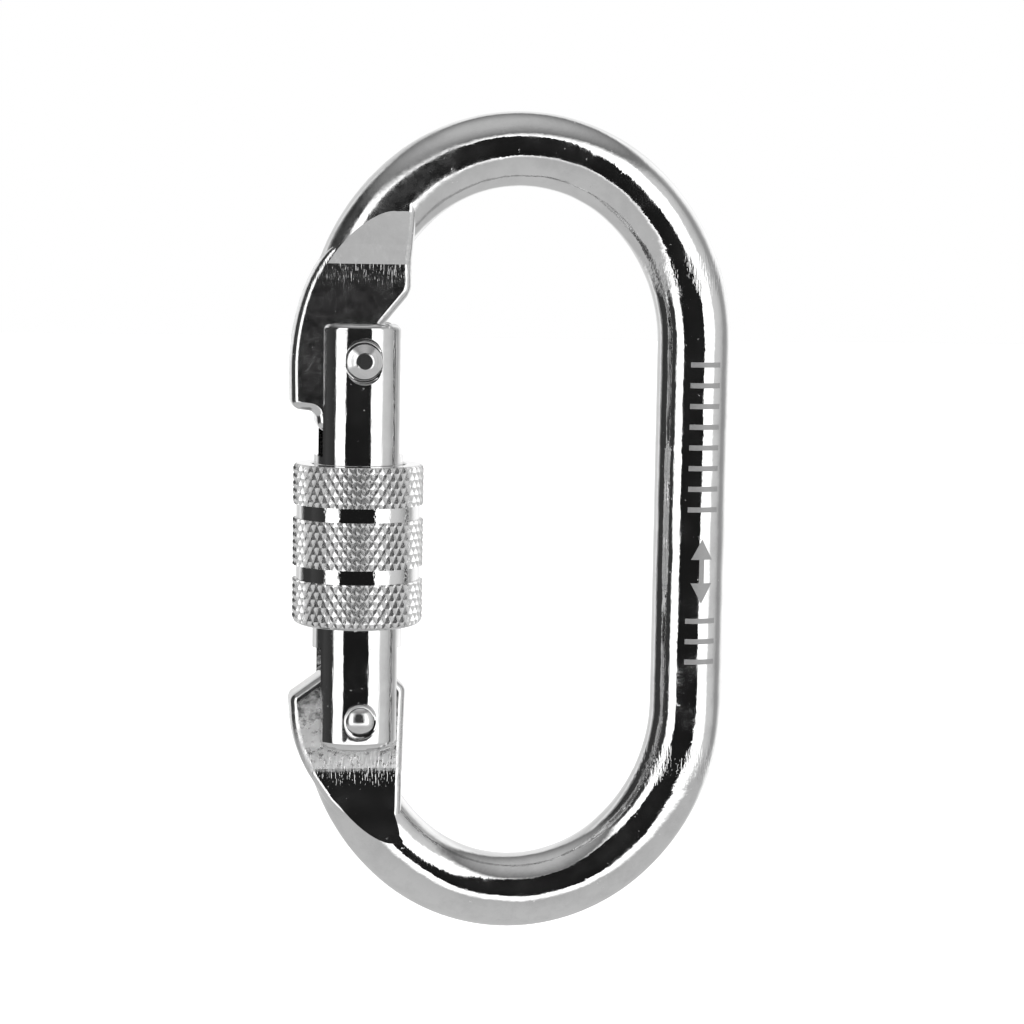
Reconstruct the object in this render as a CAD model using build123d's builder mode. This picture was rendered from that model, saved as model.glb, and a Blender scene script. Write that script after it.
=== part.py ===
"""Oval screw-gate carabiner, modelled in millimetres.

The oval lies in the XZ plane with its long axis along Z. The spine is on the +X side, the gate on
the -X side and the thickness is along Y. The origin is the centre of the assembly's bounding box.
"""
from build123d import *
import os
from math import acos, cos, radians, sin, sqrt

os.makedirs("parts", exist_ok=True)

# ---------------------------------------------------------------- driving dimensions
BAR_R = 5.0              # round bar of the frame
OVERALL_WIDTH = 60.1     # X, from the nose's outer side to the spine
OVERALL_HEIGHT = 111.0   # Z
LEG_OFFSET = 24.05       # spine centreline from the oval's own axis
SHOULDER_R = 26.8        # centreline radius where a bow leaves the straight leg
CROWN_R = 22.6           # centreline radius over the top of a bow

PLATE_T = 5.9            # the bar's ends are forged flat to this
PLATE_EDGE_R = 1.3       # rounding of the forged sides
NOSE_REACH = 9.35        # outer side of the nose from the gate's axis
NOSE_SHOULDER_Z = 15.2   # the sleeve stops just under this shoulder when it is screwed up
TONGUE_LEFT = -5.9       # sides of the tongue from the gate's axis
TONGUE_RIGHT = 2.8
TONGUE_BOTTOM = 12.5
NOSE_SLOPE_Z = 34.8      # above this height the nose plate thickens back to the bar
NOSE_SLOPE = 0.294
HEEL_SLOPE_Z = -32.6     # below this height the hinge plate thickens back to the bar
HEEL_SLOPE = 0.24
NOSE_SLOPE_RISE = 12.0   # the milling cutter leaves the bar this far along each slope
HEEL_SLOPE_DROP = 14.0

# Further points of the nose plate: X from the gate's axis, Z from the origin.
NOSE_ROOT = ((8.75, 40.4), (7.15, 37.4), (6.6, 33.5))
NOSE_STEP_TOP = (6.6, 31.2)           # the inner side steps in to the tongue
NOSE_STEP_BOTTOM = (TONGUE_RIGHT, 26.6)
NOSE_CORNER = (-9.25, 15.6)
NOSE_SIDE = ((-NOSE_REACH, 20.2), (-9.0, 26.6), (-8.0, 31.2))
NOSE_UPPER_SIDE = ((-7.6, 31.6), (-5.6, 36.2), (-1.4, 42.4))
NOSE_TOP = (3.5, 42.0)
STEP_TOP_R = 2.6
STEP_BOTTOM_R = 1.0
TONGUE_TIP_R = 1.6
TONGUE_ROOT_R = 1.2
OUTER_CORNER_R = 1.35    # lower outer corner of the nose and upper outer corner of the hinge end

# Further points of the hinge plate, from the hinge axis.
HEEL_ROOT = ((8.6, -14.5), (6.95, -11.3), (6.15, -7.0))
HEEL_INNER = (6.5, 4.1)
CAM_LIP = ((-2.2, 7.0), (-3.4, 7.0))  # flat beyond the low end of the cam
HEEL_CORNER = (-9.15, 2.9)
HEEL_SIDE = ((-9.0, 0.9), (-7.1, -7.3), (-2.2, -15.8))
HEEL_BOTTOM = (3.0, -16.2)
HEEL_INNER_R = 1.5
LIP_R = (0.4, 1.4)

GATE_R = 6.0
GATE_X = NOSE_REACH - OVERALL_WIDTH / 2
HINGE_Z = -25.9
LATCH_Z = 22.0
GATE_TOP = 27.0
GATE_BOTTOM = -30.2
GATE_RIM_R = 1.0
SLOT_W = 6.2
SLOT_FLOOR_R = 25.0      # radius of the disc cutter that sank both slots
UPPER_FLOOR_Z = 8.7
LOWER_FLOOR_Z = -15.8

PIN_R = 1.8              # shank of the rivet and of the latch pin
RIVET_CLEARANCE = 0.06   # running clearance of the rivet in the hinge plate
LATCH_CLEARANCE = 0.3    # play of the latch pin in the nose's notch
RIVET_HEAD_R = 2.05
RIVET_HEAD_RISE = 0.45
DOME_RISE = 0.55
RECESS_R = 2.55          # shallow spot face round each rivet head
RECESS_FLOOR_Y = 5.45
LATCH_HEAD_R = 2.4
LATCH_TIP_R = 1.1
LATCH_HEAD_RISE = 0.75
LATCH_HEAD_SINK = 0.3    # the head's cylindrical part ends this far inside the gate's radius

OPEN_ANGLE = 30.0        # gate travel, degrees
CAM_R = 6.6              # cam edge under the plunger with the gate shut
CAM_RISE = 0.6           # growth of the cam over the gate's travel
CAM_GAP = 0.25
CAM_START = -9.0         # the cam edge reaches past both ends of the gate's travel
CAM_MIDDLE = 14.0
CAM_END = 38.0
PLUNGER_R = 2.0
PLUNGER_L = 9.0
PLUNGER_TIP_R = 1.95     # rounding of the end on the cam
PLUNGER_CHAMFER = 0.2
BORE_R = PLUNGER_R + 0.08
BORE_TOP_Z = -3.0
SPRING_WIRE_R = 0.28
SPRING_R = 1.5
SPRING_PITCH = 1.15
SPRING_END_GAP = 0.02    # between the end coils and what they press on

SLEEVE_R = 8.75
SLEEVE_TOP = 8.2
SLEEVE_BOTTOM = -13.4
SLEEVE_BORE_R = GATE_R + 0.09
BUSH_R = 7.0
SHELL_CLEARANCE = 0.05
GROOVE_DEPTH = 0.45
GROOVE_W = 1.9
GROOVE_MID_Z = (1.86, -6.32)
BUSH_INSET = 0.6         # the bush stops short of the sleeve's lower end
COUNTERBORE_DEPTH = 4.5  # above the bush the sleeve is open, to swallow the tongue
TOP_CHAMFER = 0.35
BOTTOM_ROUND = 1.2

# ---------------------------------------------------------------- values worked out from them
RING_X = OVERALL_WIDTH / 2 - BAR_R - LEG_OFFSET
APEX_Z = OVERALL_HEIGHT / 2 - BAR_R
CROWN_Z = APEX_Z - CROWN_R
JOIN_ANGLE = acos((SHOULDER_R - LEG_OFFSET) / (SHOULDER_R - CROWN_R))
SHOULDER_Z = CROWN_Z - (SHOULDER_R - CROWN_R) * sin(JOIN_ANGLE)
HALF_T = PLATE_T / 2
NOTCH_R = PIN_R + LATCH_CLEARANCE
CUTTER_REACH = GATE_R + 1.0


def bow_point(radius, centre_x, centre_z, angle):
    """A point of an arc in the XZ plane, with the angle measured from +X towards +Z."""
    return (centre_x + radius * cos(angle), centre_z + radius * sin(angle))


def shoulder_point(side, level, angle):
    """A point of a shoulder arc: side is +1 at the spine, level is +1 in the upper bow."""
    x, z = bow_point(SHOULDER_R, LEG_OFFSET - SHOULDER_R, SHOULDER_Z, angle)
    return (RING_X + side * x, level * z)


def cam_point(angle_deg):
    """A point of the hinge plate's cam edge, seen from the hinge axis; 0 is straight up."""
    radius = CAM_R + CAM_RISE * angle_deg / OPEN_ANGLE
    return (radius * sin(radians(angle_deg)), radius * cos(radians(angle_deg)))


def about_gate(x, z):
    """Places a point that is given from the gate's own axis."""
    return (GATE_X + x, z)


def about_hinge(x, z):
    """Places a point that is given from the hinge axis."""
    return (GATE_X + x, HINGE_Z + z)


# Sketches on this plane have X to the right and Z up; its normal is -Y.
FACE = Plane.XZ

# ---------------------------------------------------------------- frame body
# The bar: seven tangent pieces, from the hinge end round by the spine to the nose end.
with BuildPart() as bar:
    with BuildLine(FACE) as route:
        ThreePointArc(
            shoulder_point(-1, -1, 0),
            shoulder_point(-1, -1, JOIN_ANGLE / 2),
            shoulder_point(-1, -1, JOIN_ANGLE),
        )
        ThreePointArc(
            shoulder_point(-1, -1, JOIN_ANGLE),
            (RING_X, -APEX_Z),
            shoulder_point(1, -1, JOIN_ANGLE),
        )
        ThreePointArc(
            shoulder_point(1, -1, JOIN_ANGLE),
            shoulder_point(1, -1, JOIN_ANGLE / 2),
            shoulder_point(1, -1, 0),
        )
        Line(shoulder_point(1, -1, 0), shoulder_point(1, 1, 0))
        ThreePointArc(
            shoulder_point(1, 1, 0),
            shoulder_point(1, 1, JOIN_ANGLE / 2),
            shoulder_point(1, 1, JOIN_ANGLE),
        )
        ThreePointArc(
            shoulder_point(1, 1, JOIN_ANGLE),
            (RING_X, APEX_Z),
            shoulder_point(-1, 1, JOIN_ANGLE),
        )
        ThreePointArc(
            shoulder_point(-1, 1, JOIN_ANGLE),
            shoulder_point(-1, 1, JOIN_ANGLE / 2),
            shoulder_point(-1, 1, 0),
        )
    with BuildSketch(Plane.XY.offset(-SHOULDER_Z)) as bar_section:
        with Locations((RING_X - LEG_OFFSET, 0)):
            Circle(BAR_R)
    sweep(path=route.wires()[0])

# Nose plate: the forged end with the tongue that stands in the gate's upper slot.
with BuildPart() as nose_plate:
    with BuildSketch(FACE) as nose_outline:
        with BuildLine():
            a0 = ThreePointArc(*[about_gate(*point) for point in NOSE_ROOT])
            l1 = Line(a0 @ 1, about_gate(*NOSE_STEP_TOP))
            l2 = Line(l1 @ 1, about_gate(*NOSE_STEP_BOTTOM))
            l3 = Line(l2 @ 1, about_gate(TONGUE_RIGHT, TONGUE_BOTTOM))
            l4 = Line(l3 @ 1, about_gate(TONGUE_LEFT, TONGUE_BOTTOM))
            l5 = Line(l4 @ 1, about_gate(TONGUE_LEFT, NOSE_SHOULDER_Z))
            l6 = Line(l5 @ 1, about_gate(*NOSE_CORNER))
            l7 = Line(l6 @ 1, about_gate(*NOSE_SIDE[0]))
            a8 = ThreePointArc(*[about_gate(*point) for point in NOSE_SIDE])
            l9 = Line(a8 @ 1, about_gate(*NOSE_UPPER_SIDE[0]))
            a10 = ThreePointArc(*[about_gate(*point) for point in NOSE_UPPER_SIDE])
            l11 = Line(a10 @ 1, about_gate(*NOSE_TOP))
            Line(l11 @ 1, a0 @ 0)
        make_face()
        corner = nose_outline.vertices().sort_by_distance
        fillet(corner((*about_gate(*NOSE_STEP_TOP), 0))[0], STEP_TOP_R)
        fillet(corner((*about_gate(*NOSE_STEP_BOTTOM), 0))[0], STEP_BOTTOM_R)
        fillet(corner((*about_gate(TONGUE_RIGHT, TONGUE_BOTTOM), 0))[0], TONGUE_TIP_R)
        fillet(corner((*about_gate(TONGUE_LEFT, TONGUE_BOTTOM), 0))[0], TONGUE_TIP_R)
        fillet(corner((*about_gate(TONGUE_LEFT, NOSE_SHOULDER_Z), 0))[0], TONGUE_ROOT_R)
        fillet(corner((*about_gate(*NOSE_CORNER), 0))[0], OUTER_CORNER_R)
    extrude(amount=HALF_T, both=True)
    rims = nose_plate.faces().filter_by(Axis.Y).edges()
    fillet(rims, PLATE_EDGE_R)

# Hinge plate: the forged end that the gate turns on, with the cam edge under the plunger.
with BuildPart() as hinge_plate:
    with BuildSketch(FACE) as hinge_outline:
        with BuildLine():
            h1 = ThreePointArc(*[about_hinge(*point) for point in HEEL_ROOT])
            h2 = Line(h1 @ 1, about_hinge(*HEEL_INNER))
            h3 = Line(h2 @ 1, about_hinge(*cam_point(CAM_END)))
            cam = ThreePointArc(
                h3 @ 1,
                about_hinge(*cam_point(CAM_MIDDLE)),
                about_hinge(*cam_point(CAM_START)),
            )
            h5 = Line(cam @ 1, about_hinge(*CAM_LIP[0]))
            h6 = Line(h5 @ 1, about_hinge(*CAM_LIP[1]))
            h7 = Line(h6 @ 1, about_hinge(*HEEL_CORNER))
            h8 = Line(h7 @ 1, about_hinge(*HEEL_SIDE[0]))
            h9 = ThreePointArc(*[about_hinge(*point) for point in HEEL_SIDE])
            h10 = Line(h9 @ 1, about_hinge(*HEEL_BOTTOM))
            Line(h10 @ 1, h1 @ 0)
        make_face()
        corner = hinge_outline.vertices().sort_by_distance
        fillet(corner((*about_hinge(*HEEL_INNER), 0))[0], HEEL_INNER_R)
        fillet(corner((*about_hinge(*HEEL_CORNER), 0))[0], OUTER_CORNER_R)
        fillet(corner((*about_hinge(*CAM_LIP[0]), 0))[0], LIP_R[0])
        fillet(corner((*about_hinge(*CAM_LIP[1]), 0))[0], LIP_R[1])
    extrude(amount=HALF_T, both=True)
    # The cam edge stays square; every other side is rounded.
    rims = hinge_plate.faces().filter_by(Axis.Y).edges()
    cam_from_x, cam_to_x = about_hinge(*CAM_LIP[1])[0] + 0.5, about_hinge(*cam_point(CAM_END))[0] + 0.01
    square = rims.filter_by(
        lambda e: e.center().Z > HINGE_Z + CAM_R - 1.1 and cam_from_x < e.center().X < cam_to_x
    )
    fillet(rims - square, PLATE_EDGE_R)

# The milling removes all that stands proud of the plates, and runs out along two slopes.
with BuildPart() as milled_away:
    with BuildSketch(Plane.YZ.offset(RING_X - OVERALL_WIDTH)) as runout:
        with BuildLine():
            Polyline(
                (HALF_T, HEEL_SLOPE_Z),
                (HALF_T, NOSE_SLOPE_Z),
                (HALF_T + NOSE_SLOPE_RISE * NOSE_SLOPE, NOSE_SLOPE_Z + NOSE_SLOPE_RISE),
                (2 * BAR_R, NOSE_SLOPE_Z + NOSE_SLOPE_RISE),
                (2 * BAR_R, HEEL_SLOPE_Z - HEEL_SLOPE_DROP),
                (HALF_T + HEEL_SLOPE_DROP * HEEL_SLOPE, HEEL_SLOPE_Z - HEEL_SLOPE_DROP),
                close=True,
            )
        make_face()
        mirror(about=Plane.YZ)
    extrude(amount=OVERALL_WIDTH)

with BuildPart() as frame_body:
    add(bar.part)
    add(nose_plate.part)
    add(hinge_plate.part)
    add(milled_away.part, mode=Mode.SUBTRACT)
    with BuildSketch(FACE) as rivet_hole:
        with Locations(about_hinge(0, 0)):
            Circle(PIN_R + RIVET_CLEARANCE)
    extrude(amount=BAR_R, both=True, mode=Mode.SUBTRACT)
    with BuildSketch(FACE) as latch_notch:
        with Locations(about_gate(0, LATCH_Z)):
            Circle(NOTCH_R)
        with Locations(about_gate(TONGUE_RIGHT, LATCH_Z)):
            Rectangle(2 * TONGUE_RIGHT, 2 * NOTCH_R)
    extrude(amount=BAR_R, both=True, mode=Mode.SUBTRACT)
frame_body.part.label = "frame_body"
export_step(frame_body.part, "parts/frame_body.step")

# ---------------------------------------------------------------- gate barrel
with BuildPart() as gate_barrel:
    with BuildSketch(Plane.XY.offset(GATE_BOTTOM)) as gate_section:
        with Locations((GATE_X, 0)):
            Circle(GATE_R)
    extrude(amount=GATE_TOP - GATE_BOTTOM)
    fillet(gate_barrel.edges().filter_by(GeomType.CIRCLE), GATE_RIM_R)
    # Each slot is sunk by a disc cutter, so its floor is hollow.
    with BuildSketch(FACE) as slots:
        for floor_z, mouth_z in ((UPPER_FLOOR_Z, GATE_TOP + 1), (LOWER_FLOOR_Z, GATE_BOTTOM - 1)):
            way = 1 if mouth_z > floor_z else -1
            edge_z = floor_z + way * CUTTER_REACH**2 / (2 * SLOT_FLOOR_R)
            with BuildLine():
                floor = ThreePointArc(
                    about_gate(-CUTTER_REACH, edge_z),
                    about_gate(0, floor_z),
                    about_gate(CUTTER_REACH, edge_z),
                )
                Polyline(
                    floor @ 1,
                    about_gate(CUTTER_REACH, mouth_z),
                    about_gate(-CUTTER_REACH, mouth_z),
                    floor @ 0,
                )
            make_face()
    extrude(amount=SLOT_W / 2, both=True, mode=Mode.SUBTRACT)
    with BuildSketch(Plane.XY.offset(LOWER_FLOOR_Z - 1)) as bore_section:
        with Locations((GATE_X, 0)):
            Circle(BORE_R)
    extrude(amount=BORE_TOP_Z - LOWER_FLOOR_Z + 1, mode=Mode.SUBTRACT)
    # Both pins cross the gate from cheek to cheek, each in a shallow spot face.
    with BuildSketch(FACE) as pin_holes:
        with Locations(about_gate(0, LATCH_Z), about_hinge(0, 0)):
            Circle(PIN_R)
    extrude(amount=2 * GATE_R, both=True, mode=Mode.SUBTRACT)
    for side in (-1, 1):
        with BuildSketch(FACE.offset(side * RECESS_FLOOR_Y)) as spot_faces:
            with Locations(about_hinge(0, 0)):
                Circle(RECESS_R)
            with Locations(about_gate(0, LATCH_Z)):
                Circle(LATCH_HEAD_R)
        extrude(amount=side * GATE_R, mode=Mode.SUBTRACT)
gate_barrel.part.label = "gate_barrel"
export_step(gate_barrel.part, "parts/gate_barrel.step")

# ---------------------------------------------------------------- hinge rivet and latch pin
# Half of each pin's profile, from its middle out to one head, given as radius and distance.
RIVET_TOP_Y = GATE_R + RIVET_HEAD_RISE
DOME_R = (RIVET_HEAD_R**2 + DOME_RISE**2) / (2 * DOME_RISE)
with BuildPart() as hinge_rivet:
    with BuildSketch(Plane.YZ.offset(GATE_X)) as rivet_profile:
        with BuildLine():
            r1 = Polyline((0, HINGE_Z), (0, HINGE_Z + PIN_R), (RECESS_FLOOR_Y, HINGE_Z + PIN_R))
            r2 = Line(r1 @ 1, (RECESS_FLOOR_Y, HINGE_Z + RIVET_HEAD_R))
            r3 = Line(r2 @ 1, (RIVET_TOP_Y - DOME_RISE, HINGE_Z + RIVET_HEAD_R))
            dome = ThreePointArc(
                r3 @ 1,
                (RIVET_TOP_Y - DOME_R + sqrt(DOME_R**2 - RIVET_HEAD_R**2 / 4), HINGE_Z + RIVET_HEAD_R / 2),
                (RIVET_TOP_Y, HINGE_Z),
            )
            Line(dome @ 1, r1 @ 0)
        make_face()
        mirror(about=Plane.YZ)
    revolve(axis=Axis((GATE_X, 0, HINGE_Z), (0, 1, 0)))
hinge_rivet.part.label = "hinge_rivet"
export_step(hinge_rivet.part, "parts/hinge_rivet.step")

LATCH_TOP_Y = GATE_R + LATCH_HEAD_RISE
with BuildPart() as latch_pin:
    with BuildSketch(Plane.YZ.offset(GATE_X)) as latch_profile:
        with BuildLine():
            p1 = Polyline((0, LATCH_Z), (0, LATCH_Z + PIN_R), (RECESS_FLOOR_Y, LATCH_Z + PIN_R))
            p2 = Line(p1 @ 1, (RECESS_FLOOR_Y, LATCH_Z + LATCH_HEAD_R))
            p3 = Line(p2 @ 1, (GATE_R - LATCH_HEAD_SINK, LATCH_Z + LATCH_HEAD_R))
            p4 = Line(p3 @ 1, (LATCH_TOP_Y, LATCH_Z + LATCH_TIP_R))
            p5 = Line(p4 @ 1, (LATCH_TOP_Y, LATCH_Z))
            Line(p5 @ 1, p1 @ 0)
        make_face()
        mirror(about=Plane.YZ)
    revolve(axis=Axis((GATE_X, 0, LATCH_Z), (0, 1, 0)))
latch_pin.part.label = "latch_pin"
export_step(latch_pin.part, "parts/latch_pin.step")

# ---------------------------------------------------------------- plunger and gate spring
PLUNGER_TIP_Z = HINGE_Z + CAM_R + CAM_GAP
with BuildPart() as plunger:
    with BuildSketch(Plane.XY.offset(PLUNGER_TIP_Z)) as plunger_section:
        with Locations((GATE_X, 0)):
            Circle(PLUNGER_R)
    extrude(amount=PLUNGER_L)
    fillet(plunger.edges().filter_by(GeomType.CIRCLE).sort_by(Axis.Z)[0], PLUNGER_TIP_R)
    chamfer(plunger.edges().filter_by(GeomType.CIRCLE).sort_by(Axis.Z)[-1], PLUNGER_CHAMFER)
plunger.part.label = "plunger"
export_step(plunger.part, "parts/plunger.step")

SPRING_BOTTOM_Z = PLUNGER_TIP_Z + PLUNGER_L + SPRING_WIRE_R + SPRING_END_GAP
SPRING_TOP_Z = BORE_TOP_Z - SPRING_WIRE_R - SPRING_END_GAP
with BuildPart() as gate_spring:
    with BuildLine() as coil:
        Helix(
            pitch=SPRING_PITCH,
            height=SPRING_TOP_Z - SPRING_BOTTOM_Z,
            radius=SPRING_R,
            center=(GATE_X, 0, SPRING_BOTTOM_Z),
        )
    with BuildSketch(Plane(origin=coil.line @ 0, z_dir=coil.line % 0)) as wire_section:
        Circle(SPRING_WIRE_R)
    sweep(path=coil.line, is_frenet=True)
gate_spring.part.label = "gate_spring"
export_step(gate_spring.part, "parts/gate_spring.step")

# ---------------------------------------------------------------- screw sleeve
with BuildPart() as sleeve_shell:
    with BuildSketch(Plane.XY.offset(SLEEVE_BOTTOM)) as shell_section:
        with Locations((GATE_X, 0)):
            Circle(SLEEVE_R)
            Circle(BUSH_R + SHELL_CLEARANCE, mode=Mode.SUBTRACT)
    extrude(amount=SLEEVE_TOP - SLEEVE_BOTTOM)
    rims = sleeve_shell.edges().filter_by(GeomType.CIRCLE)
    chamfer(rims.filter_by(lambda e: e.radius == SLEEVE_R).sort_by(Axis.Z)[-1], TOP_CHAMFER)
    rims = sleeve_shell.edges().filter_by(GeomType.CIRCLE)
    fillet(rims.filter_by(lambda e: e.radius == SLEEVE_R).sort_by(Axis.Z)[0], BOTTOM_ROUND)
    for groove_z in GROOVE_MID_Z:
        with BuildSketch(Plane.XY.offset(groove_z - GROOVE_W / 2)) as groove_section:
            with Locations((GATE_X, 0)):
                Circle(SLEEVE_R + 1)
                Circle(SLEEVE_R - GROOVE_DEPTH, mode=Mode.SUBTRACT)
        extrude(amount=GROOVE_W, mode=Mode.SUBTRACT)
sleeve_shell.part.label = "sleeve_shell"
export_step(sleeve_shell.part, "parts/sleeve_shell.step")

with BuildPart() as sleeve_bush:
    with BuildSketch(Plane.XY.offset(SLEEVE_BOTTOM + BUSH_INSET)) as bush_section:
        with Locations((GATE_X, 0)):
            Circle(BUSH_R)
            Circle(SLEEVE_BORE_R, mode=Mode.SUBTRACT)
    extrude(amount=SLEEVE_TOP - SLEEVE_BOTTOM - BUSH_INSET - COUNTERBORE_DEPTH)
sleeve_bush.part.label = "sleeve_bush"
export_step(sleeve_bush.part, "parts/sleeve_bush.step")
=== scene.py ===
"""Looks of an oval screw-gate carabiner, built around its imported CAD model.

Laid out as an add-on and run as a script. All sizes are in metres, in the CAD model's own frame:
the oval lies in the XZ plane, the spine is on the +X side, the gate on the -X side.
"""

import math

import bmesh
import bpy
from bpy.props import FloatProperty, FloatVectorProperty, IntProperty, PointerProperty
from mathutils import Matrix, Vector


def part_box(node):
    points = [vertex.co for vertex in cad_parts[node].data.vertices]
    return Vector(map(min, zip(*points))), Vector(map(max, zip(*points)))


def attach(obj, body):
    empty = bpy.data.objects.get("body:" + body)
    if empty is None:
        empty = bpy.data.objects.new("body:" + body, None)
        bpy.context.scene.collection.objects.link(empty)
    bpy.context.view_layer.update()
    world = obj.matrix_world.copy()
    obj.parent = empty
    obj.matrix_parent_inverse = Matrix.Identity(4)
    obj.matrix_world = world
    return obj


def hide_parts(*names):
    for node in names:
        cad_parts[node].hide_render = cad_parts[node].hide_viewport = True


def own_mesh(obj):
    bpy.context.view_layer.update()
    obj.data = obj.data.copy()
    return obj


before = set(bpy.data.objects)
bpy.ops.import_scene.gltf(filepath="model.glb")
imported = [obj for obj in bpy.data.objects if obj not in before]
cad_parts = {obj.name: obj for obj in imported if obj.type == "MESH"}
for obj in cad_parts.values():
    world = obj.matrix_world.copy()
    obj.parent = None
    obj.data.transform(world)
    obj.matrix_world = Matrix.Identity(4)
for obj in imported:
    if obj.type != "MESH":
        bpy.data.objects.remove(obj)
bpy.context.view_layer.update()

bl_info = {
    "name": "Oval Carabiner Looks",
    "version": (1, 0, 0),
    "blender": (4, 5, 0),
    "location": "View3D > Sidebar > Carabiner",
    "description": "Builds the plated frame, gate, pins and knurled sleeve of an oval carabiner",
    "category": "Object",
}

MM = 0.001


def middle(node):
    """The middle of a CAD node's box."""
    low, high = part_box(node)
    return (low + high) / 2


FRAME_LOW, FRAME_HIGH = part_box("frame_body")
GATE_LOW, GATE_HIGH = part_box("gate_barrel")
SLEEVE_LOW, SLEEVE_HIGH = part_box("sleeve_shell")
GATE_X = middle("gate_barrel").x
HINGE = middle("hinge_rivet")
LATCH = middle("latch_pin")
BAR_R = FRAME_HIGH.y
GATE_R = GATE_HIGH.y
SLEEVE_R = SLEEVE_HIGH.y

# Outline of the frame, as it is bent and forged.
LEG_OFFSET = 24.05 * MM       # spine centreline from the oval's own axis
SHOULDER_R = 26.8 * MM        # centreline radius where a bow leaves the straight leg
CROWN_R = 22.6 * MM           # centreline radius over the top of a bow
RING_X = FRAME_HIGH.x - BAR_R - LEG_OFFSET
CROWN_Z = FRAME_HIGH.z - BAR_R - CROWN_R
JOIN_ANGLE = math.acos((SHOULDER_R - LEG_OFFSET) / (SHOULDER_R - CROWN_R))
SHOULDER_Z = CROWN_Z - (SHOULDER_R - CROWN_R) * math.sin(JOIN_ANGLE)

TONGUE_LEFT = -5.9            # millimetres from the gate's axis, as all outline points below
TONGUE_RIGHT = 2.8
TONGUE_BOTTOM = 12.5
NOSE_SHOULDER = 15.2

NOSE_FOLD = 34.8              # heights where the plates begin to thicken, and how steeply
NOSE_SLOPE = 0.294
HEEL_FOLD = -32.7
HEEL_SLOPE = 0.206

PIN_R = 1.8 * MM
SLOT_HALF = 3.1 * MM
UPPER_FLOOR = 8.7 * MM
LOWER_FLOOR = -15.8 * MM
SLOT_FLOOR_R = 25 * MM
FINE_ANGLE = math.radians(7)  # longest step of any rounded outline
SHARP_ANGLE = math.radians(10)


# ---------------------------------------------------------------- settings
class CarabinerSizes(bpy.types.PropertyGroup):
    """Sizes that a maker would change."""

    plate_thickness: FloatProperty(
        name="Plate thickness", description="The bar's ends are forged flat to this",
        default=5.9 * MM, unit="LENGTH", precision=5)
    plate_edge: FloatProperty(
        name="Plate edge", description="Rounding of the forged sides",
        default=1.3 * MM, unit="LENGTH", precision=5)
    gate_rim: FloatProperty(
        name="Gate rim", description="Rounding of the gate's two ends",
        default=1.0 * MM, unit="LENGTH", precision=5)
    thread_pitch: FloatProperty(
        name="Thread pitch", description="Rise of the sleeve for one turn",
        default=1.5 * MM, unit="LENGTH", precision=5)
    knurl_count: IntProperty(
        name="Knurl count", description="Diamonds once round the sleeve",
        default=46, min=12)
    knurl_height: FloatProperty(
        name="Knurl height", description="Height of one diamond along the sleeve",
        default=1.98 * MM, unit="LENGTH", precision=5)
    knurl_depth: FloatProperty(
        name="Knurl depth", description="Depth of the grooves between the diamonds",
        default=0.36 * MM, unit="LENGTH", precision=5)
    groove_depth: FloatProperty(
        name="Groove depth", description="Depth of the two plain grooves round the sleeve",
        default=0.45 * MM, unit="LENGTH", precision=5)


class CarabinerFinish(bpy.types.PropertyGroup):
    """Colours and polish."""

    plating: FloatVectorProperty(
        name="Plating", description="Colour of the bright plating",
        default=(0.665, 0.665, 0.665), size=3, min=0, max=1, subtype="COLOR")
    steel: FloatVectorProperty(
        name="Steel", description="Colour of bare ground steel",
        default=(0.52, 0.515, 0.51), size=3, min=0, max=1, subtype="COLOR")
    polish: FloatProperty(
        name="Polish", description="Roughness of the bright plating",
        default=0.045, min=0, max=1, subtype="FACTOR")


class CarabinerStudio(bpy.types.PropertyGroup):
    """Camera and light."""

    camera_distance: FloatProperty(
        name="Camera distance", description="From the lens to the point it looks at",
        default=0.350, unit="LENGTH")
    camera_azimuth: FloatProperty(
        name="Camera azimuth", description="Turn of the camera about Z, from straight in front",
        default=math.radians(-9.753), subtype="ANGLE")
    camera_elevation: FloatProperty(
        name="Camera elevation", description="Height of the camera as an angle",
        default=math.radians(5.561), subtype="ANGLE")
    camera_roll: FloatProperty(
        name="Camera roll", description="Turn of the camera about its own axis",
        default=math.radians(0.966), subtype="ANGLE")
    lens: FloatProperty(
        name="Lens", description="Focal length on a 36 mm sensor, in millimetres",
        default=90.75, min=1)
    floor_gap: FloatProperty(
        name="Floor gap", description="How far the floor lies under the carabiner",
        default=0.012, unit="LENGTH")


# ---------------------------------------------------------------- mesh tools
def arc_through(start, mid, end, step=FINE_ANGLE):
    """Points from start to end on the circle through all three; each is (x, z)."""
    ax, az = start
    bx, bz = mid
    cx, cz = end
    d = 2 * (ax * (bz - cz) + bx * (cz - az) + cx * (az - bz))
    sa, sb, sc = ax * ax + az * az, bx * bx + bz * bz, cx * cx + cz * cz
    ux = (sa * (bz - cz) + sb * (cz - az) + sc * (az - bz)) / d
    uz = (sa * (cx - bx) + sb * (ax - cx) + sc * (bx - ax)) / d
    radius = math.hypot(ax - ux, az - uz)
    first = math.atan2(az - uz, ax - ux)
    turn_mid = (math.atan2(bz - uz, bx - ux) - first) % (2 * math.pi)
    turn = (math.atan2(cz - uz, cx - ux) - first) % (2 * math.pi)
    if turn_mid > turn:
        turn -= 2 * math.pi
    count = max(2, math.ceil(abs(turn) / step))
    return [
        (ux + radius * math.cos(first + turn * i / count), uz + radius * math.sin(first + turn * i / count))
        for i in range(count + 1)
    ]


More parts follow.
